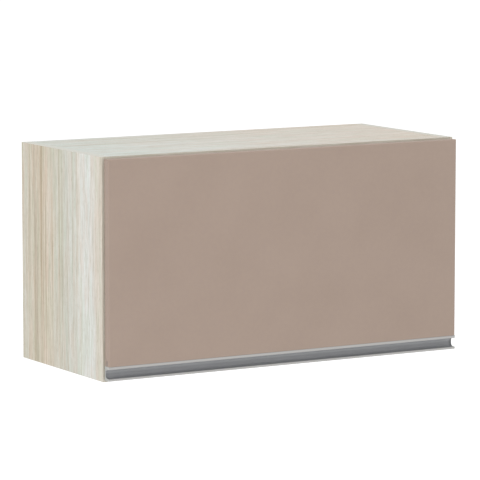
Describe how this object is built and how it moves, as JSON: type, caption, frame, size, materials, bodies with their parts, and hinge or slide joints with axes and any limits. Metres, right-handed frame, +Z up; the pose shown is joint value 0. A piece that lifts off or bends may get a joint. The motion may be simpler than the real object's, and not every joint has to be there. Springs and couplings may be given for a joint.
{
  "type": "lift up wall cabinet",
  "caption": "Low wide kitchen wall cabinet whose single flap door lifts on concealed hinges and gas struts, with a full width channel handle along its lower edge.",
  "frame": {"origin": "centre of the top panel's rear edge, on the wall plane", "axes": "+X to the right seen from the front, +Y into the wall, +Z up; the door faces -Y"},
  "size_m": [0.7, 0.317, 0.38],
  "materials": {
    "oak_board": "particle board faced in whitewashed oak melamine, fine open grain, matt",
    "oak_edging": "whitewashed oak edging strip, matt",
    "fibreboard": "thin fibreboard, pale on the inside and brown on the wall side",
    "taupe_lacquer": "fibreboard door in matt taupe lacquer",
    "anodised_aluminium": "satin silver anodised extrusion",
    "nickel_steel": "nickel plated pressed steel",
    "zinc_steel": "bright zinc plated sheet steel",
    "polished_steel": "hard chromed piston rod",
    "coated_steel": "grey coated pressure tube, satin",
    "black_plastic": "moulded black polyamide",
    "grey_plastic": "moulded light grey plastic",
    "clear_rubber": "soft translucent bumper",
    "beech": "plain beech dowel, fluted and chamfered"
  },
  "bodies": {
    "carcass": {"top_panel": "oak_board", "bottom_panel": "oak_board", "back_panel": "fibreboard", "top_edge_band": "oak_edging", "bottom_edge_band": "oak_edging", "left_side_panel": "oak_board", "left_side_edge_band": "oak_edging", "left_hanger_housing": "grey_plastic", "left_hanger_hook": "zinc_steel", "left_hinge_plate": "nickel_steel", "left_hinge_arm": "nickel_steel", "left_strut_side_bracket": "zinc_steel", "right_side_panel": "oak_board", "right_side_edge_band": "oak_edging", "right_hanger_housing": "grey_plastic", "right_hanger_hook": "zinc_steel", "right_hinge_plate": "nickel_steel", "right_hinge_arm": "nickel_steel", "right_strut_side_bracket": "zinc_steel", "left_top_dowel": "beech", "left_top_front_cam": "zinc_steel", "left_top_front_bolt": "zinc_steel", "left_top_rear_cam": "zinc_steel", "left_top_rear_bolt": "zinc_steel", "left_bottom_dowel": "beech", "left_bottom_front_cam": "zinc_steel", "left_bottom_front_bolt": "zinc_steel", "left_bottom_rear_cam": "zinc_steel", "left_bottom_rear_bolt": "zinc_steel", "right_top_dowel": "beech", "right_top_front_cam": "zinc_steel", "right_top_front_bolt": "zinc_steel", "right_top_rear_cam": "zinc_steel", "right_top_rear_bolt": "zinc_steel", "right_bottom_dowel": "beech", "right_bottom_front_cam": "zinc_steel", "right_bottom_front_bolt": "zinc_steel", "right_bottom_rear_cam": "zinc_steel", "right_bottom_rear_bolt": "zinc_steel"},
    "door": {"door_panel": "taupe_lacquer", "handle_profile": "anodised_aluminium", "left_hinge_cup": "nickel_steel", "left_strut_door_bracket": "zinc_steel", "left_door_bumper": "clear_rubber", "right_hinge_cup": "nickel_steel", "right_strut_door_bracket": "zinc_steel", "right_door_bumper": "clear_rubber"},
    "left_hinge_outer": {"left_outer_link": "nickel_steel"},
    "left_hinge_inner": {"left_inner_link": "nickel_steel"},
    "left_rod": {"left_strut_rod": "polished_steel", "left_strut_rod_socket": "black_plastic"},
    "left_tube": {"left_strut_tube": "coated_steel", "left_strut_tube_socket": "black_plastic"},
    "right_hinge_outer": {"right_outer_link": "nickel_steel"},
    "right_hinge_inner": {"right_inner_link": "nickel_steel"},
    "right_rod": {"right_strut_rod": "polished_steel", "right_strut_rod_socket": "black_plastic"},
    "right_tube": {"right_strut_tube": "coated_steel", "right_strut_tube_socket": "black_plastic"}
  },
  "joints": [
    {"name": "left_outer_link_swing", "type": "hinge", "parent": "carcass", "child": "left_hinge_outer", "pos_m": [0, -0.295, -0.0255], "axis": [-1, 0, 0], "range_deg": [-33.41, 0]},
    {"name": "door_lift", "type": "hinge", "parent": "left_hinge_outer", "child": "door", "pos_m": [0, -0.3035, -0.0055], "axis": [-1, 0, 0], "range_deg": [0, 123.4]},
    {"name": "right_outer_link_swing", "type": "hinge", "parent": "carcass", "child": "right_hinge_outer", "pos_m": [0, -0.295, -0.0255], "axis": [-1, 0, 0], "range_deg": [-33.41, 0]},
    {"name": "left_inner_link_swing", "type": "hinge", "parent": "carcass", "child": "left_hinge_inner", "pos_m": [0, -0.309, -0.0235], "axis": [-1, 0, 0], "range_deg": [-19.87, 0]},
    {"name": "left_strut_tilt", "type": "hinge", "parent": "carcass", "child": "left_rod", "pos_m": [0, -0.215, -0.2245], "axis": [-1, 0, 0], "range_deg": [-14.8, 0]},
    {"name": "left_strut_stroke", "type": "slide", "parent": "left_rod", "child": "left_tube", "axis": [0, -0.3831, 0.9237], "range_m": [0, 0.05865]},
    {"name": "right_inner_link_swing", "type": "hinge", "parent": "carcass", "child": "right_hinge_inner", "pos_m": [0, -0.309, -0.0235], "axis": [-1, 0, 0], "range_deg": [-19.87, 0]},
    {"name": "right_strut_tilt", "type": "hinge", "parent": "carcass", "child": "right_rod", "pos_m": [0, -0.215, -0.2245], "axis": [-1, 0, 0], "range_deg": [-14.8, 0]},
    {"name": "right_strut_stroke", "type": "slide", "parent": "right_rod", "child": "right_tube", "axis": [0, -0.3831, 0.9237], "range_m": [0, 0.05865]}
  ],
  "couplings": [
    {"joint": "left_outer_link_swing", "follows": "door_lift", "ratio": -0.27065},
    {"joint": "right_outer_link_swing", "follows": "door_lift", "ratio": -0.27065},
    {"joint": "left_inner_link_swing", "follows": "door_lift", "ratio": -0.16094},
    {"joint": "left_strut_tilt", "follows": "door_lift", "ratio": -0.11984},
    {"joint": "left_strut_stroke", "follows": "door_lift", "m_per_rad": 0.027231},
    {"joint": "right_inner_link_swing", "follows": "door_lift", "ratio": -0.16094},
    {"joint": "right_strut_tilt", "follows": "door_lift", "ratio": -0.11984},
    {"joint": "right_strut_stroke", "follows": "door_lift", "m_per_rad": 0.027231}
  ]
}
